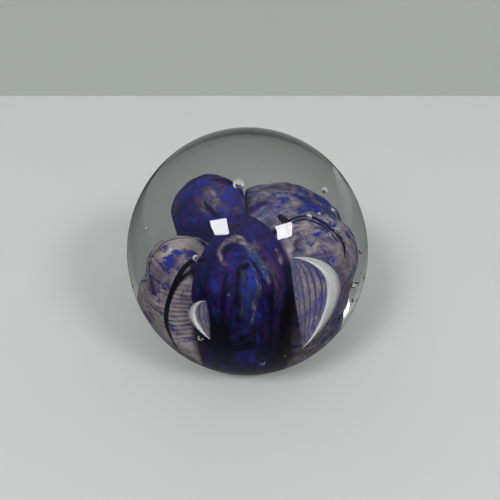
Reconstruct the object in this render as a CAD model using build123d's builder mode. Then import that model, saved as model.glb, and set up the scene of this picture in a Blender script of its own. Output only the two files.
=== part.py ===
"""Art-glass paperweight: a clear casing over five lobes of coloured veil glass.

The frame is millimetres with +Z up. The origin is the centre of the flat ground base,
so the paperweight stands on Z = 0. The front is towards -Y and +X is to the right.

From the inside out: a clear inner gather pinched into five lobes, a thin veil of
coloured glass over each lobe, canes and threads of dark glass, and the clear casing
that holds the trapped air.
"""
import os
from collections import namedtuple
from math import asin, cos, degrees, radians, sin, sqrt

from build123d import *

os.makedirs("parts", exist_ok=True)

# ---- Casing ---------------------------------------------------------------------
BALL_RADIUS = 38.0           # half of the widest diameter
BALL_HALF_HEIGHT = 39.9      # vertical semi-axis, so the ball is slightly tall
BASE_RADIUS = 22.7           # the ball is ground flat until the base is this wide
BASE_BEVEL = 0.6             # the ground edge is broken by this much
BALL_CENTRE_HEIGHT = BALL_HALF_HEIGHT * sqrt(1 - (BASE_RADIUS / BALL_RADIUS) ** 2)

# ---- Lobes ----------------------------------------------------------------------
VEIL_THICKNESS = 0.8         # the coloured skin on each lobe
FOOT_REACH = 5.0             # from the vertical axis to the centre of each lobe's foot
FOOT_HEIGHT = 4.0            # height of that centre above the base
FOOT_RADIUS = 8.0            # the foot is a sphere cut by the ground base

# ---- Canes and threads ------------------------------------------------------------
CENTRE_CANE_RADIUS = 2.4
CENTRE_CANE_HEIGHT = 36.0
ACCENT_CANE_RADIUS = 0.9
ACCENT_CANE_TOP = Vector(9.0, 0.5, 40.0)
ACCENT_CANE_FOOT = Vector(12.0, -8.5, 39.0)
THREAD_RADIUS = 0.6
THREAD_TOP_REACH = 5.0       # the thread's ends and its widest point, from the axis
THREAD_WAIST_REACH = 11.5
THREAD_FOOT_REACH = 8.0
THREAD_FOOT_HEIGHT = 3.0
THREAD_WAIST_HEIGHT = 21.0
THREAD_TOP_HEIGHT = 36.0

# ---- Layout -----------------------------------------------------------------------
# Directions are compass angles in degrees about +Z, counted from +X towards +Y.
# fold is the direction of the fold that starts the lobe, and the next lobe's ends it.
Lobe = namedtuple("Lobe", "name direction fold reach height radius")
LOBES = [
    Lobe("front", -104.0, -128.0, 9.8, 35.0, 13.8),
    Lobe("right", -14.0, -52.0, 13.2, 32.5, 11.4),
    Lobe("back_right", 60.0, 14.0, 11.3, 25.8, 12.8),
    Lobe("back_left", 130.0, 92.0, 11.0, 36.0, 8.2),
    Lobe("left", 203.0, 172.0, 17.0, 28.0, 10.0),
]
THREADS = ["front_left", "front_right", "right", "back", "left"]

# ---- Trapped air ------------------------------------------------------------------
# A half-moon bubble is half of a lens. Its flat edge stands upright, and its round
# edge points in the direction called bulge.
HalfMoon = namedtuple("HalfMoon", "direction reach height radius thickness bulge_turn cut")
HALF_MOONS = [
    HalfMoon(-56.0, 23.0, 31.5, 13.5, 6.0, 90.0, 0.0),
    HalfMoon(-112.0, 26.0, 28.5, 7.5, 4.0, -90.0, 1.0),
]

# Round bubbles: the larger one above the back fold first, then the seed bubbles.
RoundBubble = namedtuple("RoundBubble", "direction reach height radius")
ROUND_BUBBLES = [
    RoundBubble(116.0, 4.5, 49.0, 1.4),
    RoundBubble(-18.0, 25.0, 40.0, 0.85),
    RoundBubble(-30.0, 26.5, 36.0, 0.7),
    RoundBubble(-12.0, 27.0, 33.0, 0.8),
    RoundBubble(-92.0, 25.5, 30.0, 0.75),
    RoundBubble(-66.0, 25.0, 23.0, 0.8),
    RoundBubble(-100.0, 26.0, 14.0, 0.6),
    RoundBubble(-172.0, 29.0, 30.0, 0.6),
    RoundBubble(70.0, 20.0, 48.0, 0.5),
]


def around(direction, reach, height):
    """Point at a compass direction, a distance from the axis and a height."""
    return Vector(reach * cos(radians(direction)), reach * sin(radians(direction)), height)


def fold_after(lobe):
    """Direction of the fold that ends a lobe, counted up from the fold that starts it."""
    following = LOBES[(LOBES.index(lobe) + 1) % len(LOBES)]
    return lobe.fold + (following.fold - lobe.fold) % 360


def lobe_body(lobe, skin):
    """Two spheres joined by their common cone, a skin thickness under the lobe's surface."""
    foot = around(lobe.direction, FOOT_REACH, FOOT_HEIGHT)
    head = around(lobe.direction, lobe.reach, lobe.height)
    length = (head - foot).length
    foot_radius = FOOT_RADIUS - skin
    head_radius = lobe.radius - skin
    flare = degrees(asin((head_radius - foot_radius) / length))
    upright = (head - foot).normalized()
    sideways = around(lobe.direction + 90, 1, 0)
    profile_plane = Plane(origin=foot, x_dir=upright.cross(sideways), z_dir=sideways)
    with BuildPart() as body:
        with BuildSketch(profile_plane):
            with BuildLine():
                foot_arc = CenterArc((0, 0), foot_radius, -90, 90 - flare)
                head_arc = CenterArc((0, length), head_radius, -flare, 90 + flare)
                Line(foot_arc @ 1, head_arc @ 0)
                Line(head_arc @ 1, foot_arc @ 0)
            make_face()
        revolve(axis=Axis(foot, upright))
    return body.part


def sector(lobe):
    """Upright wedge between a lobe's two folds, standing on the base plane."""
    far = 3 * BALL_RADIUS
    start = lobe.fold
    end = fold_after(lobe)
    with BuildPart() as wedge:
        with BuildSketch(Plane.XY):
            corners = [around(start, far, 0), around((start + end) / 2, far, 0), around(end, far, 0)]
            Polygon((0, 0), *[(corner.X, corner.Y) for corner in corners], align=None)
        extrude(amount=2 * BALL_CENTRE_HEIGHT)
    return wedge.part


# ---- Centre cane: dark column on the axis, ground flush with the base ----------------
with BuildPart() as centre_cane:
    Cylinder(CENTRE_CANE_RADIUS, CENTRE_CANE_HEIGHT, align=(Align.CENTER, Align.CENTER, Align.MIN))
    fillet(centre_cane.edges().sort_by(Axis.Z)[-1], 0.8 * CENTRE_CANE_RADIUS)
centre_cane.part.label = "centre_cane"
export_step(centre_cane.part, "parts/centre_cane.step")

# ---- Accent cane: short rod of dark purple glass inside the right lobe ----------------
accent_direction = ACCENT_CANE_FOOT - ACCENT_CANE_TOP
with BuildPart() as accent_cane:
    with BuildSketch(Plane(origin=ACCENT_CANE_TOP, z_dir=accent_direction)):
        Circle(ACCENT_CANE_RADIUS)
    extrude(amount=accent_direction.length)
    fillet(accent_cane.edges().filter_by(GeomType.CIRCLE), 0.5 * ACCENT_CANE_RADIUS)
accent_cane.part.label = "accent_cane"
export_step(accent_cane.part, "parts/accent_cane.step")

# ---- Fold threads: one round thread down each fold, bowed outwards --------------------
threads = []
for lobe, name in zip(LOBES, THREADS):
    top = around(lobe.fold, THREAD_TOP_REACH, THREAD_TOP_HEIGHT)
    waist = around(lobe.fold, THREAD_WAIST_REACH, THREAD_WAIST_HEIGHT)
    foot = around(lobe.fold, THREAD_FOOT_REACH, THREAD_FOOT_HEIGHT)
    with BuildPart() as thread:
        with BuildLine():
            route = ThreePointArc(top, waist, foot)
        with BuildSketch(Plane(origin=route @ 0, z_dir=route % 0)):
            Circle(THREAD_RADIUS)
        sweep()
    thread.part.label = name + "_thread"
    export_step(thread.part, "parts/" + name + "_thread.step")
    threads.append(thread.part)

dark_glass = [centre_cane.part, accent_cane.part] + threads

# ---- Veils: one skin of coloured glass for each lobe ----------------------------------
lobes = []
for lobe in LOBES:
    wedge = sector(lobe)
    with BuildPart() as whole_lobe:
        add(lobe_body(lobe, 0))
        add(wedge, mode=Mode.INTERSECT)
    lobes.append(whole_lobe.part)
    with BuildPart() as veil:
        add(whole_lobe.part)
        add(lobe_body(lobe, VEIL_THICKNESS), mode=Mode.SUBTRACT)
        add(dark_glass, mode=Mode.SUBTRACT)
    veil.part.label = lobe.name + "_veil"
    export_step(veil.part, "parts/" + lobe.name + "_veil.step")

# ---- Inner gather: the clear glass inside all five lobes -------------------------------
fillings = []
for lobe in LOBES:
    with BuildPart() as filling:
        add(lobe_body(lobe, VEIL_THICKNESS))
        add(sector(lobe), mode=Mode.INTERSECT)
    fillings.append(filling.part)
with BuildPart() as inner_gather:
    add(fillings)
    add(dark_glass, mode=Mode.SUBTRACT)
inner_gather.part.label = "inner_gather"
export_step(inner_gather.part, "parts/inner_gather.step")


def half_moon(bubble):
    """Half of the lens shared by two equal spheres, cut upright on its flat edge."""
    half_thickness = bubble.thickness / 2
    ball = (bubble.radius**2 + half_thickness**2) / bubble.thickness
    centre = around(bubble.direction, bubble.reach, bubble.height)
    outward = around(bubble.direction, ball - half_thickness, 0)
    bulge = around(bubble.direction + bubble.bulge_turn, 1, 0)
    with BuildPart() as cavity:
        with Locations(centre + outward):
            Sphere(ball)
        with Locations(centre - outward):
            Sphere(ball, mode=Mode.INTERSECT)
        split(bisect_by=Plane(origin=centre + bulge * bubble.cut, z_dir=bulge), keep=Keep.TOP)
    return cavity.part


# ---- Casing: the clear ball around everything, with the trapped air --------------------
# The heart is everything inside the casing as one solid, so the casing meets each piece
# of it face to face.
with BuildPart() as heart:
    add(lobes)
    add(dark_glass)
cavities = [half_moon(bubble) for bubble in HALF_MOONS]
for bubble in ROUND_BUBBLES:
    with BuildPart() as cavity:
        with Locations(around(bubble.direction, bubble.reach, bubble.height)):
            Sphere(bubble.radius)
    cavities.append(cavity.part)
base_angle = degrees(asin(BALL_CENTRE_HEIGHT / BALL_HALF_HEIGHT))
with BuildPart() as glass_casing:
    with BuildSketch(Plane.XZ):
        with BuildLine():
            wall = EllipticalCenterArc(
                (0, BALL_CENTRE_HEIGHT),
                BALL_RADIUS,
                BALL_HALF_HEIGHT,
                start_angle=-base_angle,
                arc_size=90 + base_angle,
            )
            Polyline(wall @ 1, (0, 0), wall @ 0)
        make_face()
    revolve(axis=Axis.Z)
    chamfer(glass_casing.edges().filter_by(GeomType.CIRCLE).sort_by(Axis.Z)[0], BASE_BEVEL)
    add(cavities, mode=Mode.SUBTRACT)
    add(heart.part, mode=Mode.SUBTRACT)
glass_casing.part.label = "glass_casing"
export_step(glass_casing.part, "parts/glass_casing.step")
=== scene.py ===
"""Art-glass paperweight: the looks of the clear casing, its bubbles and the veil inside."""
import logging
from dataclasses import dataclass, field
from enum import Enum

import bpy
import numpy as np
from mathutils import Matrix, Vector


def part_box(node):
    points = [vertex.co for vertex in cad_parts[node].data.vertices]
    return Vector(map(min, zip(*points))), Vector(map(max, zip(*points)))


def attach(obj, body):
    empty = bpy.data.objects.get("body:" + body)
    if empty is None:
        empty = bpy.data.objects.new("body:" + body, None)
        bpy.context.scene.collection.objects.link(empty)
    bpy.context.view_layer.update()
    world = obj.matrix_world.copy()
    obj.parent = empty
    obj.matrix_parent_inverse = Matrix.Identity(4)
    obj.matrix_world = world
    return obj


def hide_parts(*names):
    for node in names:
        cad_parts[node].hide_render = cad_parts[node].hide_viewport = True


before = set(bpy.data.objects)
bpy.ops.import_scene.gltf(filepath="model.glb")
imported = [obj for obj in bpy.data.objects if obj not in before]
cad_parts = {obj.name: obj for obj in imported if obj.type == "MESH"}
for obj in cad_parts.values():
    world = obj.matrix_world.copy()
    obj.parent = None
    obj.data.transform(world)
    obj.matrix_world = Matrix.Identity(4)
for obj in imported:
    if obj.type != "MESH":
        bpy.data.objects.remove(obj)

LOG = logging.getLogger("paperweight")
MM = 0.001
BODY = "root"
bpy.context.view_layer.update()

# Everything inside the ball is placed in millimetres, from the centre of its ground base.
BALL_HALF_SIZE = np.array([38.0, 38.0, 39.9])
BALL_CENTRE_HEIGHT = 32.0

BAND_STEPS = 22          # points along a band
LOOP_STEPS = 40          # points along a ring
BAND_MARGIN = 2.0        # how far past its width a band is looked for
CLING = 1.8              # a band is drawn only where the skin is nearer to it than this
FAR_AWAY = 1e3           # distance given to a stretch that isn't drawn

FOLD_GAP = 0.12          # between a skin and the plane of its fold
FOLD_SOFTNESS = 0.4      # how gently a skin bends into that plane
BASE_GAP = 0.15          # between a skin and the ground base

FIRST_SEED = 10          # seed of the first lobe's waves, one more for each lobe after it


# ---- Numbers into shapes ----------------------------------------------------------


def compass(direction: float, reach: float, height: float) -> np.ndarray:
    """Point at a compass direction in degrees, a reach from the axis and a height."""
    turn = np.radians(direction)
    return np.array([reach * np.cos(turn), reach * np.sin(turn), height])


def unit(vector: np.ndarray) -> np.ndarray:
    """The vector, or each row of vectors, scaled to length one."""
    return vector / np.linalg.norm(vector, axis=-1, keepdims=True)


def smooth_step(value: np.ndarray, low: float, high: float) -> np.ndarray:
    """0 below low, 1 above high, and 3t^2 - 2t^3 between."""
    t = np.clip((value - low) / (high - low), 0, 1)
    return t * t * (3 - 2 * t)


def swelling(share: np.ndarray, ends: float) -> np.ndarray:
    """1 halfway along a line, shrinking towards both ends as the square root of a sine."""
    return ends + (1 - ends) * np.sqrt(np.sin(np.pi * np.clip(share, 0.02, 0.98)))


@dataclass
class Ripple:
    """A smooth seeded wave in space: a sum of plane waves, each one sin(k . p + phase)."""

    seed: int
    wavelength: float
    waves: int = 14

    def __call__(self, points: np.ndarray) -> np.ndarray:
        """Height of the wave at each point, about -1 to 1.

        Args:
            points: array of shape (..., 3), in millimetres.

        Returns:
            Array of shape (...).
        """
        rng = np.random.default_rng(self.seed)
        heading = unit(rng.normal(size=(self.waves, 3)))
        pitch = 2 * np.pi / (self.wavelength * rng.uniform(0.7, 1.5, self.waves))
        phase = rng.uniform(0, 2 * np.pi, self.waves)
        total = np.sin(points @ (heading * pitch[:, None]).T + phase).sum(-1)
        return total / np.sqrt(2 * self.waves)


def curve_through(points: list[np.ndarray], count: int) -> np.ndarray:
    """Catmull-Rom curve through the points.

    Args:
        points: the places the curve passes, in order.
        count: number of places wanted along it.

    Returns:
        Array (count, 3).
    """
    knots = np.array(points, float)
    knots = np.concatenate([[2 * knots[0] - knots[1]], knots, [2 * knots[-1] - knots[-2]]])
    t = np.linspace(0, len(points) - 1, count)
    at = np.minimum(t.astype(int), len(points) - 2)
    s = (t - at)[:, None]
    a, b, c, d = knots[at], knots[at + 1], knots[at + 2], knots[at + 3]
    return 0.5 * (2 * b + (c - a) * s + (2 * a - 5 * b + 4 * c - d) * s**2 + (3 * b - a - 3 * c + d) * s**3)


@dataclass
class Patch:
    """Points, the faces between them, their material slot, and named numbers at the points."""

    points: np.ndarray
    faces: list[np.ndarray]
    slot: int = 0
    fields: dict[str, np.ndarray] = field(default_factory=dict)

    def turned(self) -> "Patch":
        """The same patch with its faces pointing the other way."""
        return Patch(self.points, [face[:, ::-1] for face in self.faces], self.slot, self.fields)


def closed_rings(rings: np.ndarray, low: np.ndarray, high: np.ndarray, slot: int = 0) -> Patch:
    """Skin a stack of closed rings, with one point closing each end.

    Args:
        rings: array (rows, columns, 3). Columns run counter-clockwise seen from the high end.
        low: the point that closes the first ring.
        high: the point that closes the last ring.
        slot: material slot of the faces.

    Returns:
        A closed patch whose faces point outwards.
    """
    rows, columns, _ = rings.shape
    index = np.arange(rows * columns).reshape(rows, columns)
    after = np.roll(index, -1, axis=1)
    quads = np.stack([index[:-1], after[:-1], after[1:], index[1:]], -1).reshape(-1, 4)
    low_at, high_at = rows * columns, rows * columns + 1
    low_fan = np.stack([after[0], index[0], np.full(columns, low_at)], -1)
    high_fan = np.stack([index[-1], after[-1], np.full(columns, high_at)], -1)
    points = np.concatenate([rings.reshape(-1, 3), [low], [high]])
    return Patch(points, [quads, low_fan, high_fan], slot)


def ring_field(values: np.ndarray) -> np.ndarray:
    """A field given on the rings (rows, columns), with its end rows' means at the two poles."""
    return np.concatenate([values.ravel(), [values[0].mean(), values[-1].mean()]])


def make_piece(name: str, patches: list[Patch], materials: list[bpy.types.Material],
               stands_for: list[str]) -> bpy.types.Object:
    """Put patches into one mesh object that rides on the body.

    Args:
        name: the piece's name.
        patches: the surfaces that make the piece.
        materials: one for each slot that the patches use.
        stands_for: the nodes that the piece replaces.

    Returns:
        The new object, at the origin.
    """
    points, corners, sizes, slots = [], [], [], []
    base = 0
    for patch in patches:
        points.append(patch.points)
        for face in patch.faces:
            corners.append((face + base).ravel())
            sizes.append(np.full(len(face), face.shape[1]))
            slots.append(np.full(len(face), patch.slot))
        base += len(patch.points)
    co, corner, size = np.concatenate(points), np.concatenate(corners), np.concatenate(sizes)
    mesh = bpy.data.meshes.new(name)
    mesh.vertices.add(len(co))
    mesh.vertices.foreach_set("co", co.astype(np.float32).ravel())
    mesh.loops.add(len(corner))
    mesh.loops.foreach_set("vertex_index", corner.astype(np.int32))
    mesh.polygons.add(len(size))
    mesh.polygons.foreach_set("loop_start", (np.cumsum(size) - size).astype(np.int32))
    mesh.polygons.foreach_set("material_index", np.concatenate(slots).astype(np.int32))
    mesh.polygons.foreach_set("use_smooth", np.ones(len(size), bool))
    for key in dict.fromkeys(key for patch in patches for key in patch.fields):
        values = np.concatenate([patch.fields.get(key, np.zeros(len(patch.points))) for patch in patches])
        layer = mesh.attributes.new(key, "FLOAT", "POINT")
        layer.data.foreach_set("value", values.astype(np.float32))
    mesh.update(calc_edges=True)
    mesh.validate()
    for material in materials:
        mesh.materials.append(material)
    piece = bpy.data.objects.new(name, mesh)
    bpy.context.scene.collection.objects.link(piece)
    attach(piece, BODY)
    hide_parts(*stands_for)
    return piece


# ---- Finishes -----------------------------------------------------------------------


class Graph:
    """A material's node tree, with short calls that add and join nodes."""

    def __init__(self, name: str) -> None:
        """Start an empty material with an output node."""
        self.material = bpy.data.materials.new(name)
        self.material.use_nodes = True
        self.tree = self.material.node_tree
        self.tree.nodes.clear()
        self.output = self.tree.nodes.new("ShaderNodeOutputMaterial")

    def node(self, kind: str, inputs: dict | None = None, **settings: object) -> bpy.types.Node:
        """Add a node.

        Args:
            kind: Blender's name of the node type, without its ShaderNode prefix.
            inputs: values or output sockets for its inputs, by name or number.
            settings: attributes of the node.

        Returns:
            The new node.
        """
        made = self.tree.nodes.new("ShaderNode" + kind)
        for key, value in settings.items():
            setattr(made, key, value)
        for key, value in (inputs or {}).items():
            if isinstance(value, bpy.types.NodeSocket):
                self.tree.links.new(value, made.inputs[key])
            else:
                made.inputs[key].default_value = value
        return made

    def math(self, operation: str, first: object, second: object = 0.0) -> bpy.types.NodeSocket:
        """Result of a Math node."""
        return self.node("Math", {0: first, 1: second}, operation=operation).outputs[0]

    def vector(self, operation: str, first: object, second: object) -> bpy.types.NodeSocket:
        """Result of a Vector Math node."""
        return self.node("VectorMath", {0: first, 1: second}, operation=operation).outputs[0]

    def scaled(self, colour: object, scale: object) -> bpy.types.NodeSocket:
        """A colour times one number."""
        return self.node("VectorMath", {0: colour, "Scale": scale}, operation="SCALE").outputs[0]

    def total(self, parts: list) -> bpy.types.NodeSocket:
        """Sum of the parts."""
        result = parts[0]
        for part in parts[1:]:
            result = self.math("ADD", result, part)
        return result

    def product(self, parts: list) -> bpy.types.NodeSocket:
        """Product of the parts."""
        result = parts[0]
        for part in parts[1:]:
            result = self.math("MULTIPLY", result, part)
        return result

    def ramp(self, value: object, low: float, high: float) -> bpy.types.NodeSocket:
        """Smooth step: 0 below low, 1 above high, eased between."""
        made = self.node("MapRange", {0: value, 1: low, 2: high}, interpolation_type="SMOOTHSTEP")
        return made.outputs[0]

    def noise(self, where: object, feature: float, detail: float = 3.0, roughness: float = 0.5,
              distortion: float = 0.0) -> bpy.types.NodeSocket:
        """Noise with features of a size in metres."""
        made = self.node("TexNoise", {"Vector": where, "Scale": 1 / feature, "Detail": detail,
                                      "Roughness": roughness, "Distortion": distortion})
        return made.outputs[0]

    def blend(self, share: object, first: object, second: object) -> bpy.types.NodeSocket:
        """Mix of two colours, the second's share given."""
        made = self.node("Mix", {0: share, 6: first, 7: second}, data_type="RGBA")
        return made.outputs[2]

    def mapped(self, where: object, place: tuple, scale: tuple) -> bpy.types.NodeSocket:
        """A place moved and stretched."""
        return self.node("Mapping", {"Vector": where, "Location": place, "Scale": scale}).outputs[0]

    def finish(self, shader: bpy.types.Node) -> bpy.types.Material:
        """Join the shader to the output and return the material."""
        self.tree.links.new(shader.outputs[0], self.output.inputs[0])
        return self.material


@dataclass(frozen=True)
class ClearGlass:
    """Polished clear glass. Light from lamps may leave it, and part of it may enter.

    A painted reflection: where the material is given a share of it, white paint covers the
    marked band, standing for the light of the room that a bubble's steep side sends back.
    """

    name: str
    ior: float = 1.5
    entering: float = 0.08
    painted_sheen: float = 0.0

    def material(self) -> bpy.types.Material:
        """Glass for sight, thin grey for shadows."""
        graph = Graph(self.name)
        glass = graph.node("BsdfPrincipled", {
            "Base Color": (1, 1, 1, 1), "Roughness": 0.0, "IOR": self.ior, "Transmission Weight": 1.0})
        if self.painted_sheen:
            # Painted reflection: white diffuse paint on the marked band, not a true mirror.
            painted_reflection = graph.node("BsdfPrincipled", {"Base Color": (0.95, 0.96, 0.94, 1), "Roughness": 0.4})
            band = graph.node("Attribute", attribute_name="painted_reflection").outputs["Fac"]
            share = graph.math("MULTIPLY", band, self.painted_sheen)
            glass = graph.node("MixShader", {0: share, 1: glass.outputs[0], 2: painted_reflection.outputs[0]})
        back = graph.node("NewGeometry").outputs["Backfacing"]
        passed = graph.blend(back, (self.entering,) * 3 + (1,), (1.0, 1.0, 1.0, 1))
        clear = graph.node("BsdfTransparent", {"Color": passed})
        shadow = graph.node("LightPath").outputs["Is Shadow Ray"]
        return graph.finish(graph.node("MixShader", {0: shadow, 1: glass.outputs[0], 2: clear.outputs[0]}))


class Glass(Enum):
    """The coloured glasses of the frit.

    Each has what a unit of it takes out of red, green and blue light, the colour that it
    scatters, and how milky it is.
    """

    COBALT = ((3.4, 2.6, 0.25), (0.022, 0.055, 0.55), 0.50)
    VIOLET = ((1.3, 2.2, 0.60), (0.15, 0.04, 0.28), 0.28)
    ROSE = ((0.20, 0.62, 0.40), (0.62, 0.42, 0.44), 0.25)
    INK = ((2.8, 3.1, 1.1), (0.013, 0.006, 0.125), 0.60)
    MILK = ((0.05, 0.09, 0.10), (0.72, 0.64, 0.64), 2.0)
    TEAL = ((2.4, 0.7, 0.40), (0.03, 0.15, 0.24), 0.50)
    PITCH = ((3.6, 3.8, 3.2), (0.004, 0.003, 0.014), 0.80)

    def __init__(self, absorbed: tuple, glow: tuple, milkiness: float) -> None:
        """Name the three parts of the value."""
        self.absorbed = absorbed
        self.glow = glow
        self.milkiness = milkiness


class Fibre(Enum):
    """Which way the frit is drawn out: scales along X, Y and Z, small along the fibres."""

    UP = (1.0, 1.0, 0.13)
    ROUND = (0.25, 0.25, 1.0)
    LOOSE = (0.55, 1.0, 0.7)


@dataclass(frozen=True)
class FritFinish:
    """Coloured frit melted into clear glass: washes, wisps and specks of tinted glass.

    How much of each glass a place has comes from the piece's own fields.
    """

    name: str
    fibre: Fibre = Fibre.LOOSE
    drawn: float = 0.5
    spread: float = 0.5
    body: float = 1.0
    grain: float = 1.0
    seed: float = 0.0

    def pattern(self, graph: Graph) -> dict[Glass, bpy.types.NodeSocket]:
        """Share of each glass: cobalt in clusters of fine wisps, the others softer."""
        plain = graph.node("TexCoord").outputs["Object"]
        stir = graph.node("TexNoise", {"Vector": plain, "Scale": 190.0, "Detail": 2.0}).outputs["Color"]
        stir = graph.vector("MULTIPLY", graph.vector("SUBTRACT", stir, (0.5, 0.5, 0.5)), (0.006,) * 3)
        stirred = graph.vector("ADD", plain, stir)
        places = [graph.mapped(stirred, (0.31 * self.seed + 0.1 * k, 0.17 * k, 0), (1, 1, 1))
                  for k in range(4)]
        flow = graph.mapped(stirred, (0.07 * self.seed, 0.05, 0), self.fibre.value)
        cluster = graph.ramp(graph.noise(places[0], 0.0055, 3.0, 0.6, 0.6), 0.58 - 0.22 * self.spread, 0.68)
        feather = graph.ramp(graph.noise(flow, 0.0019 * self.grain, 6.0, 0.62, 0.7), 0.42, 0.64)
        fine = graph.ramp(graph.noise(flow, 0.0007 * self.grain, 4.0, 0.6, 0.4), 0.40, 0.68)
        patch = graph.ramp(graph.noise(places[1], 0.0026 * self.grain, 6.0, 0.66, 0.8), 0.44, 0.64)
        wisps = graph.total([graph.product([feather, graph.math("ADD", fine, 0.45)]),
                             graph.math("MULTIPLY", patch, 0.5)])
        soft = graph.ramp(graph.noise(places[3], 0.0042, 5.0, 0.60, 0.6), 0.36, 0.66)
        rosy = graph.ramp(graph.noise(places[2], 0.0046, 5.0, 0.6, 0.5), 0.38, 0.64)
        milky = graph.ramp(graph.noise(flow, 0.0024, 5.0, 0.62, 0.6), 0.38, 0.66)
        shares = {
            Glass.COBALT: graph.product([graph.math("ADD", cluster, 0.10), wisps]),
            Glass.VIOLET: graph.math("ADD", soft, 0.15),
            Glass.ROSE: graph.math("ADD", rosy, 0.15),
            Glass.INK: graph.math("ADD", soft, 0.55),
            Glass.MILK: graph.math("ADD", milky, 0.35),
            Glass.TEAL: graph.math("ADD", patch, 0.3),
            Glass.PITCH: graph.math("ADD", fine, 0.6),
        }
        for number, glass in enumerate(Glass):
            lay = graph.mapped(stirred, (0.05 * number, 0.03 * self.seed, 0.1 * number), self.fibre.value)
            thread = graph.ramp(graph.noise(lay, 0.0016, 4.0, 0.6, 0.2), 0.36, 0.64)
            drawn = graph.node("Math", {0: thread, 1: 1.8 * self.drawn, 2: 1 - 0.9 * self.drawn},
                               operation="MULTIPLY_ADD")
            shares[glass] = graph.product([shares[glass], drawn.outputs[0]])
        return shares

    def material(self) -> bpy.types.Material:
        """Light that crosses the skin keeps exp(-thickness x absorption) of each colour.

        The thickness of each coloured glass grows where the skin is seen edge-on. A share
        of the colour also scatters light. Cobalt lies over the milk and the rose.
        """
        graph = Graph(self.name)
        shares = self.pattern(graph)
        facing = graph.node("LayerWeight", {"Blend": 0.5}).outputs["Facing"]
        slant = graph.math("DIVIDE", 1.0, graph.math("SUBTRACT", 1.10, facing))
        amounts = {}
        for glass in Glass:
            here = graph.node("Attribute", attribute_name=glass.name.lower()).outputs["Fac"]
            amounts[glass] = graph.product([shares[glass], here, slant])
        cover = graph.math("EXPONENT", graph.math("MULTIPLY", amounts[Glass.COBALT], -1.2))
        for glass in (Glass.MILK, Glass.ROSE):
            amounts[glass] = graph.product([amounts[glass], cover])
        kept = []
        for channel in range(3):
            total = graph.total([graph.math("MULTIPLY", amounts[glass], glass.absorbed[channel])
                                 for glass in Glass])
            kept.append(graph.math("EXPONENT", graph.math("MULTIPLY", total, -1.0)))
        colour = graph.node("CombineColor", dict(enumerate(kept))).outputs[0]
        clear = graph.node("BsdfTransparent", {"Color": colour})
        milky = {glass: graph.math("MULTIPLY", amounts[glass], glass.milkiness) for glass in Glass}
        dense = graph.total(list(milky.values()))
        glow = None
        for glass in Glass:
            tinted = graph.scaled(glass.glow, milky[glass])
            glow = tinted if glow is None else graph.vector("ADD", glow, tinted)
        over = graph.math("DIVIDE", 1.0, graph.math("MAXIMUM", dense, 0.001))
        glow = graph.scaled(glow, over)
        solid = graph.node("BsdfPrincipled", {"Base Color": glow, "Roughness": 0.6,
                                              "Specular IOR Level": 0.0})
        share = graph.math("SUBTRACT", 1.0, graph.math("EXPONENT", graph.math("MULTIPLY", dense, -self.body)))
        return graph.finish(graph.node("MixShader", {0: share, 1: clear.outputs[0], 2: solid.outputs[0]}))


@dataclass(frozen=True)
class DarkGlass:
    """Deep cobalt or purple glass, nearly black, with a little colour left in thin places."""

    name: str
    colour: tuple[float, float, float] = (0.012, 0.006, 0.04)

    def material(self) -> bpy.types.Material:
        """A dark body whose colour wanders slightly."""
        graph = Graph(self.name)
        where = graph.node("TexCoord").outputs["Object"]
        cloud = graph.ramp(graph.noise(where, 0.004, 3.0), 0.4, 0.7)
        colour = graph.blend(cloud, (*self.colour, 1), (self.colour[0] * 3, self.colour[1] * 2,
                                                        self.colour[2] * 2.5, 1))
        return graph.finish(graph.node("BsdfPrincipled", {"Base Color": colour, "Roughness": 0.5,
                                                          "Specular IOR Level": 0.0}))


# ---- Tints ----------------------------------------------------------------------------


Tint = dict[Glass, float]


@dataclass(frozen=True)
class Band:
    """A band of colour laid on a lobe from one place to another, bowed to one side.

    A place is a turn about the lobe's head, counted from the way the lobe leans out, and
    a climb above the head's widest ring, both in degrees. A climb under zero runs down to
    the foot at -90, and one over 90 passes over the top. The band replaces what the skin
    has there, and its half width shrinks towards both ends.
    """

    start: tuple[float, float]
    end: tuple[float, float]
    width: float
    tint: Tint
    bow: float = 0.0
    strength: float = 1.0
    soft: float = 0.45
    ends: float = 0.45

    def places(self) -> np.ndarray:
        """Turn and climb of points along the band, shape (n, 2)."""
        share = np.linspace(0, 1, BAND_STEPS)[:, None]
        run = np.subtract(self.end, self.start)
        sideways = np.array([-run[1], run[0]]) / np.linalg.norm(run)
        return np.array(self.start) + share * run + self.bow * np.sin(np.pi * share) * sideways

    def weight(self, line: np.ndarray, skin: np.ndarray, stirred: np.ndarray) -> np.ndarray:
        """Share of the band at each point of a skin.

        The line is drawn onto the skin by taking the skin's nearest point to each of its
        points. The share falls from 1 to 0 as the distance to the drawn line passes the
        half width.

        Args:
            line: points along the band, in millimetres.
            skin: points of the skin, shape (n, 3), in millimetres.
            stirred: the same points moved a little, so that the band's edge wavers.

        Returns:
            Array (n,).
        """
        result = np.zeros(len(skin))
        box = self.width * (1 + self.soft) + BAND_MARGIN
        close = np.all((skin > line.min(0) - box) & (skin < line.max(0) + box), axis=1).nonzero()[0]
        if not len(close):
            return result
        apart = np.linalg.norm(skin[close][:, None] - line, axis=2)
        drawn = skin[close][apart.argmin(0)]
        on_skin = apart.min(0) < CLING
        half = self.width * swelling(np.linspace(0, 1, len(line)), self.ends)
        start, step = drawn[:-1], np.diff(drawn, axis=0)
        here = stirred[close][:, None] - start
        share = np.clip((here * step).sum(2) / np.maximum((step**2).sum(1), 1e-9), 0, 1)
        distance = np.linalg.norm(here - share[..., None] * step, axis=2) / half[:-1]
        distance = distance + np.where(on_skin[:-1] & on_skin[1:], 0.0, FAR_AWAY)
        result[close] = 1 - smooth_step(distance.min(1), 1 - self.soft, 1 + self.soft)
        return result * self.strength


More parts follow.
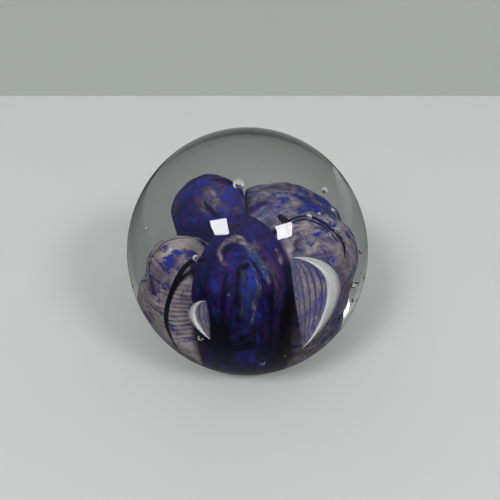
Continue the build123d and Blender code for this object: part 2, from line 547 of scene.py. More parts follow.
@dataclass(frozen=True)
class Loop(Band):
    """A band along part of a ring: start is the ring's middle, and end its two clock angles.

    The opening is the ring's radius in degrees of the lobe's head, and a clock angle runs
    clockwise from the ring's highest point.
    """

    opening: float = 10.0

    def places(self) -> np.ndarray:
        """Turn and climb of points along the ring, shape (n, 2)."""
        turn, climb = np.radians(self.start)
        clock = np.radians(np.linspace(*self.end, LOOP_STEPS))[:, None]
        middle = np.array([np.cos(climb) * np.cos(turn), np.cos(climb) * np.sin(turn), np.sin(climb)])
        upward = np.array([-np.sin(climb) * np.cos(turn), -np.sin(climb) * np.sin(turn), np.cos(climb)])
        rightward = np.cross(upward, middle)
        opening = np.radians(self.opening)
        spoke = np.cos(clock) * upward + np.sin(clock) * rightward
        ring = np.cos(opening) * middle + np.sin(opening) * spoke
        return np.degrees(np.stack([np.arctan2(ring[:, 1], ring[:, 0]), np.arcsin(ring[:, 2])], -1))


def tint_fields(base: Tint, shape: tuple[int, int]) -> dict[str, np.ndarray]:
    """Amount of each glass at each point of a skin with so many rings and columns."""
    return {glass.name.lower(): ring_field(np.full(shape, base.get(glass, 0.0))) for glass in Glass}


# ---- Casing -------------------------------------------------------------------------


@dataclass
class RoundBubble:
    """A ball of trapped air."""

    direction: float
    reach: float
    height: float
    radius: float

    def patch(self, slot: int) -> Patch:
        """A small sphere of rings, its faces pointing into the air."""
        rows, columns = 13, 22
        polar = np.linspace(0, np.pi, rows + 2)[1:-1]
        around = np.linspace(0, 2 * np.pi, columns, endpoint=False)
        centre = compass(self.direction, self.reach, self.height) * MM
        radius = self.radius * MM
        rings = centre + radius * np.stack([
            np.sin(polar)[:, None] * np.cos(around), np.sin(polar)[:, None] * np.sin(around),
            np.broadcast_to(-np.cos(polar)[:, None], (rows, columns))], -1)
        low, high = centre - [0, 0, radius], centre + [0, 0, radius]
        return closed_rings(rings, low, high, slot).turned()


@dataclass
class HalfMoonBubble:
    """Air trapped against a lobe: a straight edge, and a round side that bulges outwards.

    The outer side faces the casing's wall. The inner side lies on the veil and has fine
    upright ribs.
    """

    top: np.ndarray
    foot: np.ndarray
    bulge_towards: np.ndarray
    bulge: float
    outer_depth: float
    inner_depth: float
    rib_depth: float = 0.10
    ribs: int = 9
    low_ease: float = 0.95
    high_ease: float = 0.62

    def directions(self) -> tuple[np.ndarray, np.ndarray, float]:
        """Towards the bulge, across the chord, and the sign that makes across point outwards."""
        chord = unit(self.top - self.foot)
        side = unit(self.bulge_towards - chord * (self.bulge_towards @ chord))
        across = np.cross(chord, side)
        return side, across, np.sign(across @ ((self.top + self.foot) * [1, 1, 0]))

    def rings(self, swell: float, around: np.ndarray, rows: int) -> np.ndarray:
        """Ovals along the upright chord, from the foot to the top.

        With t from 0 at the foot to 1 at the top, the half width is bulge times
        t to the low_ease times (1 - t) to the high_ease, scaled to reach 1. Across
        the chord each oval is a teardrop: an ellipse whose depth is drawn in towards
        the straight edge by the cosine of half the angle.

        Args:
            swell: how far outside the bubble's wall, in millimetres.
            around: angles round the chord, 0 towards the bulge.
            rows: number of rings.

        Returns:
            Array (rows, angles, 3), in metres.
        """
        t = (1 - np.cos(np.linspace(0, np.pi, rows + 2)[1:-1])) / 2
        width = t**self.low_ease * (1 - t)**self.high_ease
        width = width / width.max()
        side, across, outward = self.directions()
        inner = np.sin(around) * outward < 0
        ribs = 1 + self.rib_depth * np.cos(self.ribs * 2 * around)
        depth = np.where(inner, self.inner_depth * ribs, self.outer_depth) + swell
        out = (0.5 + 0.5 * np.cos(around)) * (self.bulge + 2 * swell) - swell
        deepest = 0.77  # the largest value that sin(a) cos(a / 2) takes
        deep = np.sin(around) * np.cos(around / 2) * depth / deepest
        centre = self.foot + t[:, None] * (self.top - self.foot)
        return (centre[:, None] + (width[:, None] * out)[..., None] * side
                + (width[:, None] * deep)[..., None] * across) * MM

    def patch(self, slot: int) -> Patch:
        """The bubble's wall, its faces pointing into the air."""
        rows, columns = 70, 120
        around = np.linspace(-np.pi, np.pi, columns, endpoint=False)
        made = closed_rings(self.rings(0.0, around, rows), self.foot * MM, self.top * MM, slot)
        out = 0.5 + 0.5 * np.cos(around)
        # Where the painted reflection goes: the bulging side beyond its ridge, with a thin darker line inside
        # it.
        band = smooth_step(out, 0.70, 0.74) * (1 - 0.7 * np.exp(-((out - 0.86) / 0.02)**2))
        made.fields["painted_reflection"] = ring_field(np.broadcast_to(band, (rows, columns)))
        return made.turned()

    def backing(self, slot: int, base: Tint, dark: Tint) -> Patch:
        """The ribbed skin of veil glass just behind the bubble's inner side.

        A thin shell: out along the inner side a little way into the glass, and back
        along a line that is a skin thickness deeper.

        Args:
            slot: material slot of the shell.
            base: tint between the ribs.
            dark: tint on the ribs.

        Returns:
            A closed patch with its tint fields.
        """
        rows, columns = 60, 90
        near_swell, far_swell = 0.25, 0.60
        outward = self.directions()[2]
        sweep = np.linspace(0.06, 0.94, columns) * np.pi
        near = self.rings(near_swell, -outward * sweep, rows)
        far = self.rings(far_swell, -outward * sweep, rows)
        rings = np.concatenate([near, far[:, ::-1]], 1)
        shell = closed_rings(rings, self.foot * MM, self.top * MM, slot)
        angle = np.concatenate([sweep, sweep[::-1]])
        stripe = smooth_step(np.cos(self.ribs * 2 * angle + 1.1 * np.sin(3 * angle)), 0.35, 0.85)
        stripe = np.broadcast_to(stripe, rings.shape[:2])
        for glass in Glass:
            low, high = base.get(glass, 0.0), dark.get(glass, 0.0)
            shell.fields[glass.name.lower()] = ring_field(low + (high - low) * stripe)
        return shell if outward < 0 else shell.turned()


@dataclass
class Casing:
    """The clear outer glass: a slightly tall ball on a ground base, with trapped air."""

    centre_height: float = BALL_CENTRE_HEIGHT
    bevel: float = 0.6
    rows: int = 150
    columns: int = 256

    def wall(self) -> Patch:
        """The ball, as an ellipse carried round the axis, from the bevel to the crown.

        Radius at height z is the half width times sqrt(1 - ((z - centre) / half height)^2).

        Returns:
            The polished wall with the crown closed.
        """
        low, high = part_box("glass_casing")
        half_width = (high[0] - low[0]) / 2
        half_height = high[2] - self.centre_height * MM
        start = np.arcsin((self.bevel - self.centre_height) * MM / half_height)
        rise = np.linspace(start, np.pi / 2, self.rows + 1)[:-1]
        around = np.linspace(0, 2 * np.pi, self.columns, endpoint=False)
        radius = half_width * np.cos(rise)
        height = self.centre_height * MM + half_height * np.sin(rise)
        edge = half_width * np.sqrt(1 - (self.centre_height * MM / half_height)**2) - self.bevel * MM * 0.5
        radius = np.concatenate([[edge], radius])
        height = np.concatenate([[0.0], height])
        rings = np.stack([radius[:, None] * np.cos(around), radius[:, None] * np.sin(around),
                          np.broadcast_to(height[:, None], (len(height), self.columns))], -1)
        return closed_rings(rings, np.zeros(3), np.array([0, 0, high[2]]))

    def build(self, half_moons: list[HalfMoonBubble], rounds: list[RoundBubble]) -> bpy.types.Object:
        """The ball and every cavity as one piece of glass.

        Args:
            half_moons: the large bubbles against the lobes.
            rounds: the round bubble and the seeds.

        Returns:
            The casing.
        """
        outer = self.wall()
        quads, base_fan, _ = outer.faces
        patches = [outer] + [moon.patch(1) for moon in half_moons] + [seed.patch(2) for seed in rounds]
        finishes = [ClearGlass("polished_casing").material(),
                    # The half-moons' wall is painted white on its bulging side: a painted reflection.
                    ClearGlass("half_moon_wall", entering=1.0, painted_sheen=0.9).material(),
                    ClearGlass("seed_wall", entering=1.0).material()]
        piece = make_piece("casing_glass", patches, finishes, ["glass_casing"])
        # The bevel, which is the first ring of faces, and the ground base keep sharp edges.
        smooth = np.ones(len(piece.data.polygons), bool)
        smooth[:self.columns] = False
        smooth[len(quads):len(quads) + len(base_fan)] = False
        piece.data.polygons.foreach_set("use_smooth", smooth)
        return piece


# ---- Veil lobes -----------------------------------------------------------------------


@dataclass
class Trail:
    """A rod or a crease of glass along a smooth line through a few points."""

    points: list[np.ndarray]
    radius: float
    tint: Tint = field(default_factory=dict)
    end_share: float = 0.35

    def patch(self, slot: int = 0) -> Patch:
        """Circles carried along a Catmull-Rom curve.

        The radius shrinks from its full value in the middle towards both ends, and never
        falls below end_share of it.

        Args:
            slot: material slot of the faces.

        Returns:
            A closed patch with its tint fields.
        """
        rows, columns = 60, 20
        line = curve_through(self.points, rows)
        along = unit(np.gradient(line, axis=0))
        outward = unit(line * [1, 1, 0] + [1e-6, 0, 0])
        side = unit(np.cross(outward, along))
        up = np.cross(along, side)
        radius = self.radius * swelling(np.linspace(0, 1, rows), self.end_share)
        around = np.linspace(0, 2 * np.pi, columns, endpoint=False)
        rings = line[:, None] + radius[:, None, None] * (
            np.cos(around)[:, None] * side[:, None] + np.sin(around)[:, None] * up[:, None])
        low, high = line[0] - along[0] * radius[0] * 0.8, line[-1] + along[-1] * radius[-1] * 0.8
        made = closed_rings(rings * MM, low * MM, high * MM, slot)
        made.fields = tint_fields(self.tint, (rows, columns))
        return made


@dataclass
class Lobe:
    """One lobe of the pinched gather, and the frit skin over it."""

    name: str
    direction: float
    fold: float
    next_fold: float
    reach: float
    height: float
    radius: float
    finish: FritFinish
    tint: Tint
    swirls: tuple[Trail, ...] = ()
    bands: tuple[Band, ...] = ()
    wave: float = 0.6
    pleats: int = 0
    pleat_depth: float = 0.0
    ribs: int = 0
    rib_depth: float = 0.0
    foot_reach: float = 5.0
    foot_height: float = 4.0
    foot_radius: float = 8.0

    def centres(self) -> tuple[np.ndarray, np.ndarray]:
        """Centre of the head's sphere, then of the foot's."""
        head = compass(self.direction, self.reach, self.height)
        return head, compass(self.direction, self.foot_reach, self.foot_height)

    def plain(self, down: np.ndarray) -> tuple[np.ndarray, np.ndarray]:
        """Centres and radii of the plain round skin, from 0 at the head to 1 at the foot."""
        head, foot = self.centres()
        return head + (foot - head) * down[:, None], self.radius + (self.foot_radius - self.radius) * down

    def skin(self, inset: float, seed: int, columns: int = 320) -> Patch:
        """The lobe's surface, an inset below its outside.

        Two spheres joined by their common cone give the profile, which is carried round
        the lobe's own axis. Waves, upright pleats and level ribs then move each point
        along its outward direction, and what would pass a fold's upright plane or the
        base is pressed flat against it. The seam is on the side that faces the axis.

        Args:
            inset: depth below the outside, in millimetres.
            seed: seed of the waves.
            columns: points round each ring.

        Returns:
            A closed patch with its tint fields.
        """
        foot_rings, cone_rings, head_rings = (30, 70, 60) if inset else (30, 90, 110)
        head, foot = self.centres()
        length = np.linalg.norm(head - foot)
        low_r, high_r = self.foot_radius - inset, self.radius - inset
        flare = np.arcsin((high_r - low_r) / length)
        low_arc = np.linspace(-np.pi / 2, -flare, foot_rings)[1:]
        cone = np.linspace(0, 1, cone_rings)[1:-1]
        high_arc = np.linspace(-flare, np.pi / 2, head_rings)[:-1]
        along = np.concatenate([low_r * np.sin(low_arc),
                                -low_r * np.sin(flare) + cone * (length - (high_r - low_r) * np.sin(flare)),
                                length + high_r * np.sin(high_arc)])
        radius = np.concatenate([low_r * np.cos(low_arc),
                                 low_r * np.cos(flare) + cone * (high_r - low_r) * np.cos(flare),
                                 high_r * np.cos(high_arc)])
        axis = unit(head - foot)
        sideways = compass(self.direction + 90, 1, 0)
        outward = np.cross(sideways, axis)
        even = np.linspace(-1, 1, columns, endpoint=False)
        around = np.pi * (0.6 * even + 0.4 * even**3)
        ray = np.cos(around)[:, None] * outward + np.sin(around)[:, None] * sideways
        share = np.clip((along + low_r) / (length + low_r + high_r), 0, 1)
        centre = foot + along[:, None] * axis
        rings = centre[:, None] + radius[:, None, None] * ray
        away = unit(rings - centre[:, None] + axis * (along - length * share)[:, None, None] * 0.3 + 1e-9)
        fade = np.clip(radius / 3.0, 0, 1)[:, None]
        swell = self.wave * Ripple(seed, 11.0)(rings) + 0.3 * self.wave * Ripple(seed + 1, 3.4)(rings)
        turn = around + 0.35 * Ripple(seed + 2, 16.0)(rings)
        vary = 0.6 + 0.4 * Ripple(seed + 3, 9.0)(rings)
        low_down = 1 - smooth_step(share, 0.62, 0.95)[:, None]
        pleat = np.abs(np.sin(self.pleats / 2 * turn))**0.6 - 0.6
        swell = swell + self.pleat_depth * vary * low_down * pleat
        level = share[:, None] + 0.02 * Ripple(seed + 4, 12.0)(rings)
        swell = swell + self.rib_depth * np.sin(2 * np.pi * self.ribs * level)
        rings = rings + (swell * fade)[..., None] * away
        low = foot - low_r * axis
        high = centre[-1] + axis * (high_r * (1 - np.sin(high_arc[-1])))
        patch = closed_rings(rings, low, high)
        patch.points = self.pressed(patch.points) * MM
        patch.fields = tint_fields(self.tint, rings.shape[:2])
        if not inset:
            self.lay_bands(patch, seed)
        return patch

    def place(self, turn: np.ndarray, climb: np.ndarray) -> np.ndarray:
        """Points on the plain round skin at turns and climbs, which Band explains."""
        centre, radius = self.plain(np.clip(-climb / 90, 0, 1))
        level = np.radians(np.maximum(climb, 0))
        across = np.radians(self.direction + turn)
        away = np.stack([np.cos(level) * np.cos(across), np.cos(level) * np.sin(across), np.sin(level)], -1)
        return centre + radius[:, None] * away

    def clearance(self, point: np.ndarray) -> float:
        """Distance from a point to the lobe's plain round skin, less than zero inside."""
        centres, radius = self.plain(np.linspace(0, 1, 30))
        return float((np.linalg.norm(centres - point, axis=1) - radius).min())

    def lay_bands(self, patch: Patch, seed: int) -> None:
        """Lay the lobe's bands into its tint fields, in order."""
        skin = patch.points / MM
        waver = [0.20 * Ripple(seed + 20 + k, 3.0)(skin) + 0.07 * Ripple(seed + 30 + k, 1.0)(skin)
                 for k in range(3)]
        stirred = skin + np.stack(waver, -1)
        for band in self.bands:
            weight = band.weight(self.place(*band.places().T), skin, stirred)
            for glass in Glass:
                amount = patch.fields[glass.name.lower()]
                patch.fields[glass.name.lower()] = amount + (band.tint.get(glass, 0.0) - amount) * weight

    def pressed(self, points: np.ndarray) -> np.ndarray:
        """Press points that pass either fold's plane, or the base, onto it."""
        points = points.copy()
        for direction, sign in ((self.fold, 1), (self.next_fold, -1)):
            inward = sign * np.array([-np.sin(np.radians(direction)), np.cos(np.radians(direction)), 0])
            past = FOLD_GAP - points @ inward
            soft = np.log1p(np.exp(np.clip(past / FOLD_SOFTNESS, -30, 30))) * FOLD_SOFTNESS
            points += soft[:, None] * inward
        points[:, 2] = np.maximum(points[:, 2], BASE_GAP)
        return points

    def build(self, seed: int, swirl: bpy.types.Material, extra: list[Patch]) -> bpy.types.Object:
        """The veil of this lobe as a piece.

        Args:
            seed: seed of the waves.
            swirl: finish of the swirls and extra patches.
            extra: more patches for slot 1.

        Returns:
            The veil.
        """
        patches = [self.skin(0.0, seed)] + [trail.patch(1) for trail in self.swirls] + extra
        materials = [self.finish.material(), swirl]
        return make_piece(self.name + "_veil_skin", patches, materials, [self.name + "_veil"])


def front_bands() -> tuple[Band, ...]:
    """Front lobe: dark folds, a clear cobalt window, a pink swirl and a small teal ring."""
    g = Glass
    face = (15.0, 40.0)
    return (
        Band((-30, 75), (-30, 20), 2.6, {g.INK: 2.4, g.COBALT: 1.5, g.PITCH: 0.5}, strength=0.8),
        Band((-5, 30), (0, -25), 2.4, {g.COBALT: 3.0, g.VIOLET: 1.6, g.INK: 1.0}, strength=0.6),
        Band((45, 5), (40, -40), 2.2, {g.COBALT: 6.0, g.VIOLET: 0.8, g.INK: 0.5}, strength=0.8),
        Band((60, 10), (60, -30), 1.7, {g.VIOLET: 2.0, g.ROSE: 0.4, g.INK: 0.8, g.COBALT: 1.0}, strength=0.8),
        Band((55, 65), (60, 15), 1.7, {g.VIOLET: 2.2, g.ROSE: 0.7, g.INK: 0.5}, strength=0.9, soft=0.7),
        Loop(face, (60, 80), 0.6, {g.ROSE: 1.3, g.MILK: 0.15, g.VIOLET: 0.5}, soft=0.9, opening=50),
        Band((-12, 25), (-12, -55), 1.2, {g.COBALT: 6.5, g.INK: 0.4}, strength=0.8, soft=0.8),
        Band((8, 5), (8, -60), 1.0, {g.COBALT: 8.0, g.VIOLET: 0.3}, strength=0.9, soft=0.8),
        Band((34, -5), (32, -60), 1.0, {g.COBALT: 7.5, g.VIOLET: 0.6}, strength=0.9, soft=0.8),
        Band((0, 35), (-2, -65), 0.7, {g.PITCH: 3.0, g.INK: 2.0}, soft=0.9),
        Band((52, 35), (50, -60), 0.7, {g.PITCH: 3.0, g.INK: 1.0}, soft=0.9),
        Band((-24, 50), (-24, -50), 1.0, {g.PITCH: 2.0, g.INK: 2.5}, soft=0.9),
        Band((15, 45), (15, -10), 0.8, {g.PITCH: 3.5}, soft=0.8),
        Band((27, 45), (22, -25), 2.1, {g.COBALT: 7.5, g.MILK: 0.05, g.TEAL: 0.3, g.INK: 0.3}, soft=0.5),
        Band((36, 45), (28, -15), 0.6, {g.MILK: 0.22, g.ROSE: 0.3, g.COBALT: 1.2, g.TEAL: 0.3}, bow=3,
             soft=0.9),
        Band((45, 55), (50, 25), 1.3, {g.TEAL: 0.9, g.MILK: 0.12, g.COBALT: 3.0}, soft=0.6),
        Band((35, 55), (48, -15), 0.45, {g.INK: 2.5, g.PITCH: 1.4}, bow=4, soft=0.7),
        Band((5, 68), (10, 52), 2.0, {g.INK: 1.4, g.VIOLET: 1.0, g.COBALT: 3.0}, soft=0.6),
        Loop((5, 60), (-170, 30), 0.55, {g.ROSE: 1.3, g.MILK: 0.13, g.VIOLET: 0.6}, soft=0.8, opening=14),
        Loop((5, 60), (-40, 80), 0.75, {g.MILK: 0.22, g.ROSE: 0.6, g.VIOLET: 0.5, g.COBALT: 0.8}, soft=0.8,
             opening=16),
        Band((20, 45), (28, 46), 0.8, {g.PITCH: 4.0}),
        Loop((45, 60), (0, 360), 0.5, {g.TEAL: 1.1, g.MILK: 0.12, g.COBALT: 1.5}, soft=0.8, opening=5),
        Loop(face, (-40, 50), 0.6, {g.PITCH: 2.5, g.INK: 2.0}, opening=78),
    )


def right_bands() -> tuple[Band, ...]:
    """Right lobe: pale, with dark arches inside its outline and soft cobalt wisps."""
    g = Glass
    face = (-75.0, 40.0)
    return (
        # Cobalt strip along the right edge. Its milk, which makes the lobe's lower right paler, is partly
        # painted light.
        Loop(face, (80, 150), 2.8, {g.COBALT: 4.5, g.VIOLET: 0.5, g.ROSE: 0.5, g.MILK: 0.5}, strength=0.8,
             soft=0.7, opening=65),
        # A painted glint: pale rose and milk low on the lobe.
        Band((-60, -40), (-40, -35), 1.6, {g.ROSE: 1.0, g.MILK: 0.6, g.COBALT: 1.0}, strength=0.8, soft=0.9),
        Loop(face, (-110, -60), 1.5, {g.VIOLET: 1.4, g.COBALT: 4.0, g.ROSE: 0.4}, strength=0.8, opening=70),
        Loop(face, (-100, -50), 0.5, {g.ROSE: 1.2, g.VIOLET: 1.2}, strength=0.8, soft=0.9, opening=55),
        Loop(face, (-85, 85), 0.55, {g.PITCH: 2.2, g.INK: 3.5}, opening=62),
        Loop(face, (-20, 60), 0.35, {g.PITCH: 1.2, g.INK: 2.5}, opening=55),
        Band((-100, 75), (-85, 52), 0.8, {g.COBALT: 4.2, g.MILK: 0.12}, strength=0.8, bow=4),
        Band((-85, 62), (-80, 52), 1.3, {g.COBALT: 4.6, g.MILK: 0.12}, strength=0.8),
        Band((-60, 70), (-55, 45), 0.9, {g.COBALT: 4.0, g.MILK: 0.14}, strength=0.6, bow=-4),
        Band((-40, 50), (-30, 10), 1.6, {g.COBALT: 5.0, g.VIOLET: 0.3, g.MILK: 0.2}, strength=0.7, soft=0.8),
    )


def back_right_bands() -> tuple[Band, ...]:
    """Back right lobe: a purple edge, fine cobalt wisps and clusters under it."""
    g = Glass
    face = (-150.0, 40.0)
    return (
        Loop(face, (-40, 70), 0.5, {g.ROSE: 0.9, g.VIOLET: 1.2}, strength=0.7, opening=80),
        Loop(face, (-32, -12), 1.1, {g.COBALT: 8.5, g.VIOLET: 0.8}, soft=0.7, opening=48),
        Loop(face, (-20, 12), 0.7, {g.COBALT: 5.7, g.MILK: 0.12}, strength=0.8, opening=54),
        Loop(face, (5, 22), 0.6, {g.COBALT: 3.8, g.MILK: 0.18}, strength=0.7, opening=64),
        Loop(face, (25, 38), 1.2, {g.COBALT: 7.6}, strength=0.8, soft=0.7, opening=66),
        Loop(face, (45, 58), 1.2, {g.COBALT: 7.0, g.VIOLET: 0.4}, strength=0.8, soft=0.7, opening=75),
    )


def back_left_bands() -> tuple[Band, ...]:
    """Back left lobe: a purple edge, a cobalt cap, and navy lower down."""
    g = Glass
    face = (140.0, 40.0)
    return (
        Loop(face, (-150, -60), 3.4, {g.INK: 2.6, g.VIOLET: 1.0, g.COBALT: 3.5}, strength=0.9, soft=0.8,
             opening=50),
        Band((110, 15), (165, 15), 3.4, {g.INK: 2.8, g.COBALT: 3.0, g.PITCH: 0.6}, strength=0.9, soft=0.8),
        Band((115, 50), (165, 50), 1.5, {g.COBALT: 3.0, g.MILK: 0.16, g.ROSE: 0.5}, strength=0.7, soft=0.8),
        Band((138, 42), (155, 42), 1.2, {g.COBALT: 8.0, g.VIOLET: 0.3}, soft=0.7),
        Loop(face, (-50, -10), 1.1, {g.COBALT: 7.6, g.VIOLET: 0.4}, strength=0.9, opening=62),
        Band((140, 82), (155, 66), 1.8, {g.MILK: 0.16, g.ROSE: 0.9, g.COBALT: 1.0}, strength=0.9, soft=0.8),
        Loop(face, (0, 50), 0.9, {g.INK: 3.0, g.PITCH: 0.5}, opening=68),
        Loop(face, (-100, 60), 0.55, {g.ROSE: 0.9, g.VIOLET: 1.8, g.INK: 0.4}, strength=0.8, opening=80),
        Band((110, 60), (150, 38), 0.5, {g.PITCH: 1.8, g.INK: 2.0}, soft=0.8),
    )


def left_bands() -> tuple[Band, ...]:
    """Left lobe: pale ribs, a slanting cobalt band and a dark line inside its outline."""
    g = Glass
    face = (65.0, 40.0)
    return (
        # Painted light: a wide pale milky band over the lobe's lower part stands in for light that the ball
        # focuses there.
        Band((60, -30), (65, -80), 4.5, {g.VIOLET: 0.5, g.ROSE: 0.8, g.MILK: 1.4, g.COBALT: 2.4},
             strength=0.9, soft=0.7),
        Band((35, 70), (0, -10), 2.3, {g.COBALT: 7.0, g.VIOLET: 0.4, g.MILK: 0.12}, bow=-5,
             strength=0.95, soft=0.8),
        Loop(face, (-110, -30), 2.0, {g.COBALT: 5.0, g.VIOLET: 0.3, g.ROSE: 0.3, g.MILK: 0.50}, strength=0.6,
             soft=0.9, opening=58),
        Loop(face, (-120, 0), 0.34, {g.PITCH: 2.2, g.VIOLET: 1.0}, opening=72),
        Band((60, 80), (95, 70), 0.9, {g.COBALT: 4.2, g.VIOLET: 0.6, g.MILK: 0.06}, strength=0.8),
        # A painted glint: pale rose and milk down the lobe's middle.
        Band((65, 35), (67, -20), 1.4, {g.ROSE: 0.9, g.MILK: 0.9, g.COBALT: 2.0}, strength=0.9, soft=0.8),
        Band((85, 55), (88, 25), 1.5, {g.VIOLET: 2.0, g.INK: 2.4, g.PITCH: 0.5}),
        Band((75, -40), (85, -60), 1.4, {g.ROSE: 1.1, g.VIOLET: 1.6}, strength=0.9),
        Loop(face, (30, 170), 0.8, {g.PITCH: 5.0}, opening=70),
    )


def lobes() -> list[Lobe]:
    """The five lobes, in order round the axis from the front."""
    g = Glass
    front = FritFinish("front_frit", Fibre.UP, drawn=1.0, spread=0.7, seed=1.0)
    right = FritFinish("right_frit", Fibre.LOOSE, drawn=0.4, spread=0.2, seed=2.0)
    back_right = FritFinish("back_right_frit", Fibre.LOOSE, drawn=0.5, spread=0.4, seed=3.0)
    back_left = FritFinish("back_left_frit", Fibre.LOOSE, drawn=0.5, spread=0.9, seed=4.0)
    left = FritFinish("left_frit", Fibre.ROUND, drawn=0.4, spread=0.35, seed=5.0)
    contour = [compass(-118, 19, 44), compass(-132, 20, 42), compass(-140, 22, 35),
               compass(-143, 24, 24), compass(-138, 23, 15)]
    return [
        Lobe("front", -104, -128, -52, 9.8, 34.2, 13.8, front,
             {g.COBALT: 3.0, g.VIOLET: 0.8, g.INK: 1.7, g.ROSE: 0.12}, bands=front_bands(),
             swirls=(Trail(contour, 0.62, {g.PITCH: 5.0}),),
             pleats=22, pleat_depth=0.7),
        Lobe("right", -14, -52, 14, 13.2, 32.5, 11.4, right,
             {g.COBALT: 3.2, g.VIOLET: 0.10, g.ROSE: 0.30, g.MILK: 0.42}, bands=right_bands()),
        Lobe("back_right", 60, 14, 92, 11.3, 25.8, 12.8, back_right,
             {g.COBALT: 4.2, g.VIOLET: 0.35, g.ROSE: 0.30, g.MILK: 0.24, g.TEAL: 0.25},
             bands=back_right_bands()),
        Lobe("back_left", 130, 92, 172, 11.0, 36.0, 8.2, back_left,
             {g.COBALT: 5.4, g.VIOLET: 1.0, g.ROSE: 0.3, g.INK: 1.1, g.MILK: 0.05},
             bands=back_left_bands()),
        Lobe("left", 203, 172, 232, 15.2, 30.5, 9.0, left,
             {g.COBALT: 2.6, g.VIOLET: 0.22, g.ROSE: 0.45, g.MILK: 1.10},
             bands=left_bands(), ribs=26, rib_depth=0.07,
             foot_reach=14.0, foot_height=17.0, foot_radius=10.5),
    ]


def seed_bubbles(family: list[Lobe], half_moons: list[HalfMoonBubble], count: int) -> list[RoundBubble]:
    """Scatter seed bubbles in the clear glass, mostly at the front and on the right.

    Each try is kept when it clears the lobes, the wall, the half-moons and the bubbles
    already placed.

    Args:
        family: the lobes to stay clear of.
        half_moons: the large bubbles to stay clear of.
        count: how many to place.

    Returns:
        The bubbles.
    """
    random = np.random.default_rng(12)
    nearest, farthest = 1.6, 5.0  # from a bubble to the closest lobe
    least_apart = 2.5
    widest_share = 0.88           # of the way from the ball's middle to its wall
    middle = compass(0, 0, BALL_CENTRE_HEIGHT)
    placed: list[RoundBubble] = []
    while len(placed) < count:
        direction, reach, height = random.normal(-40, 65), random.uniform(14, 30), random.uniform(14, 46)
        radius = random.uniform(0.25, 0.85)
        here = compass(direction, reach, height)
        beside = min(lobe.clearance(here) for lobe in family)
        clear = all(np.linalg.norm(here - (moon.top + moon.foot) / 2)
                    > np.linalg.norm(moon.top - moon.foot) * 0.62 for moon in half_moons)
        apart = all(np.linalg.norm(here - compass(other.direction, other.reach, other.height)) > least_apart
                    for other in placed)
        within = np.linalg.norm((here - middle) / BALL_HALF_SIZE) < widest_share
        if nearest < beside < farthest and clear and apart and within:
            placed.append(RoundBubble(direction, reach, height, radius))
    return placed


# ---- Studio ----------------------------------------------------------------------------


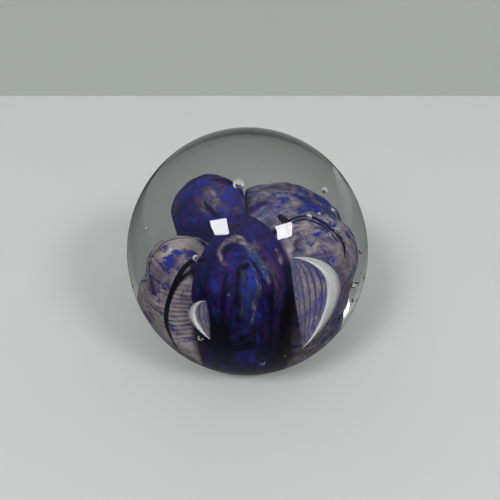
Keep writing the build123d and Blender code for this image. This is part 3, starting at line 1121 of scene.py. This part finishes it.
@dataclass
class Studio:
    """A pale table, a pale wall behind it, two square ceiling panels and the camera."""

    wall_distance: float = 0.181
    front_edge: float = 0.5
    table: tuple[float, float, float] = (0.68, 0.69, 0.68)
    wall: tuple[float, float, float] = (0.50, 0.53, 0.51)
    panel_size: float = 0.6
    panel_power: float = 22.5
    zenith: float = 0.46
    horizon: float = 0.20
    below: float = 0.09
    panel_distance: float = 2.2
    camera_place: tuple[float, float, float] = (0, -0.14846, 0.15657)
    camera_tilt: float = 50.0
    camera_lens: float = 43.35
    camera_shift: tuple[float, float] = (0.0052, 0.0050)

    def flat(self, name: str, corners: list[tuple[float, float, float]],
             colour: tuple[float, float, float]) -> None:
        """Add one flat stage surface with a faint mottle.

        Args:
            name: its name.
            corners: four corners, counter-clockwise seen from the side that shows.
            colour: its colour.
        """
        graph = Graph(name + "_paint")
        where = graph.node("TexCoord").outputs["Object"]
        mottle = graph.noise(where, 0.05, 4.0)
        tone = graph.blend(mottle, tuple(c * 0.97 for c in colour) + (1,),
                           tuple(min(c * 1.03, 1) for c in colour) + (1,))
        paint = graph.finish(graph.node("BsdfPrincipled", {"Base Color": tone, "Roughness": 0.55,
                                                           "Specular IOR Level": 0.25}))
        mesh = bpy.data.meshes.new(name)
        mesh.from_pydata(corners, [], [(0, 1, 2, 3)])
        mesh.materials.append(paint)
        stage = bpy.data.objects.new(name, mesh)
        bpy.context.scene.collection.objects.link(stage)
        stage.visible_glossy = name != "table"

    def panel(self, name: str, towards: tuple[float, float, float], turn: float) -> None:
        """Hang a square panel lamp that faces straight down.

        Args:
            name: its name.
            towards: direction from the paperweight to the panel.
            turn: its turn about the vertical, in degrees.
        """
        lamp = bpy.data.lights.new(name, "AREA")
        lamp.shape = "SQUARE"
        lamp.size = self.panel_size
        lamp.energy = self.panel_power
        holder = bpy.data.objects.new(name, lamp)
        holder.location = np.array(towards) * self.panel_distance
        holder.rotation_euler = (0, 0, np.radians(turn))
        bpy.context.scene.collection.objects.link(holder)

    def room(self) -> bpy.types.World:
        """World light: brighter overhead than at the horizon, dim below it."""
        world = bpy.data.worlds.new("room")
        world.use_nodes = True
        tree = world.node_tree
        sky = tree.nodes.new("ShaderNodeTexCoord")
        height = tree.nodes.new("ShaderNodeSeparateXYZ")
        ramp = tree.nodes.new("ShaderNodeValToRGB")
        tree.links.new(sky.outputs["Generated"], height.inputs[0])
        shift = tree.nodes.new("ShaderNodeMapRange")
        shift.inputs[1].default_value = -1.0
        tree.links.new(height.outputs[2], shift.inputs[0])
        tree.links.new(shift.outputs[0], ramp.inputs[0])
        stops = ((0.45, self.below), (0.52, self.horizon), (1.0, self.zenith))
        while len(ramp.color_ramp.elements) < len(stops):
            ramp.color_ramp.elements.new(0.5)
        for element, (place, level) in zip(ramp.color_ramp.elements, stops):
            element.position = place
            element.color = (0.97 * level, 0.99 * level, level, 1)
        tree.links.new(ramp.outputs[0], tree.nodes["Background"].inputs[0])
        return world

    def build(self) -> None:
        """Table, wall, lamps, world and camera."""
        scene = bpy.context.scene
        y, far, near, tall = self.wall_distance, 2.5, self.front_edge, 1.6
        self.flat("table", [(-far, -near, 0), (far, -near, 0), (far, y, 0), (-far, y, 0)], self.table)
        self.flat("wall", [(-far, y, 0), (far, y, 0), (far, y, tall), (-far, y, tall)], self.wall)
        self.panel("left_panel", (-0.412, -0.49, 0.77), 0)
        self.panel("right_panel", (0.548, -0.48, 0.69), 26)
        scene.world = self.room()
        view = bpy.data.cameras.new("camera")
        view.lens = self.camera_lens
        view.shift_x, view.shift_y = self.camera_shift
        holder = bpy.data.objects.new("camera", view)
        holder.location = self.camera_place
        holder.rotation_euler = (np.radians(self.camera_tilt), 0, 0)
        scene.collection.objects.link(holder)
        scene.camera = holder
        scene.view_settings.view_transform = "Standard"
        scene.cycles.max_bounces = 24
        scene.cycles.transmission_bounces = 20
        scene.cycles.transparent_max_bounces = 48
        scene.cycles.caustics_refractive = False
        scene.cycles.caustics_reflective = False


def gather_film(family: list[Lobe]) -> bpy.types.Object:
    """The inner gather as a thin film of pale frit, just inside every lobe's skin."""
    film = FritFinish("gather_film", spread=0.4, body=0.8, seed=7.0)
    depth, paleness = 1.0, 0.25
    inner = []
    for number, lobe in enumerate(family):
        skin = lobe.skin(depth, FIRST_SEED + number, columns=110)
        for key in skin.fields:
            skin.fields[key] = skin.fields[key] * paleness
        inner.append(skin)
    return make_piece("gather_glass", inner, [film.material()], ["inner_gather"])


def accent_rod() -> bpy.types.Object:
    """The short plum rod inside the right lobe."""
    plum = DarkGlass("plum_rod", (0.03, 0.006, 0.035)).material()
    rod = Trail([compass(30, 8, 39.5), compass(-15, 9, 43), compass(-40, 15, 41.5)], 0.8, end_share=0.6)
    return make_piece("accent_rod", [rod.patch()], [plum], ["accent_cane"])


def darken_canes() -> None:
    """Give the centre cane and the fold threads their dark glass."""
    dark = DarkGlass("dark_cane").material()
    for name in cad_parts:
        if name == "centre_cane" or name.endswith("_thread"):
            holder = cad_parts[name]
            holder.data.materials.clear()
            holder.data.materials.append(dark)


def main() -> None:
    """Build every piece in order, then the studio."""
    logging.basicConfig(level=logging.INFO, format="%(name)s: %(message)s")
    large = HalfMoonBubble(compass(-59, 20, 45), compass(-59, 27, 19.5), compass(16, 1, 0), 11.8, 2.8, 1.6)
    small = HalfMoonBubble(compass(-114, 25, 36), compass(-110, 27, 25), compass(160, 1, 0), 4.8, 1.5, 0.8,
                           ribs=4)
    family = lobes()
    rounds = [RoundBubble(116, 4.5, 49.0, 1.3)] + seed_bubbles(family, [large, small], 28)
    pieces = [Casing().build([large, small], rounds)]
    lilac = {Glass.VIOLET: 0.8, Glass.MILK: 0.30, Glass.ROSE: 0.15, Glass.COBALT: 2.4}
    line = {Glass.VIOLET: 1.4, Glass.COBALT: 1.6, Glass.INK: 1.2}
    swirl = FritFinish("swirl_frit", Fibre.UP, spread=0.9, grain=0.5, body=1.2, seed=8.0).material()
    backings = {"front": [small.backing(1, lilac, line)], "right": [large.backing(1, lilac, line)]}
    for number, lobe in enumerate(family):
        pieces.append(lobe.build(FIRST_SEED + number, swirl, backings.get(lobe.name, [])))
    pieces.append(gather_film(family))
    pieces.append(accent_rod())
    darken_canes()
    for piece in pieces:
        LOG.info("%s: %d faces", piece.name, len(piece.data.polygons))
    Studio().build()


if __name__ == "__main__":
    main()
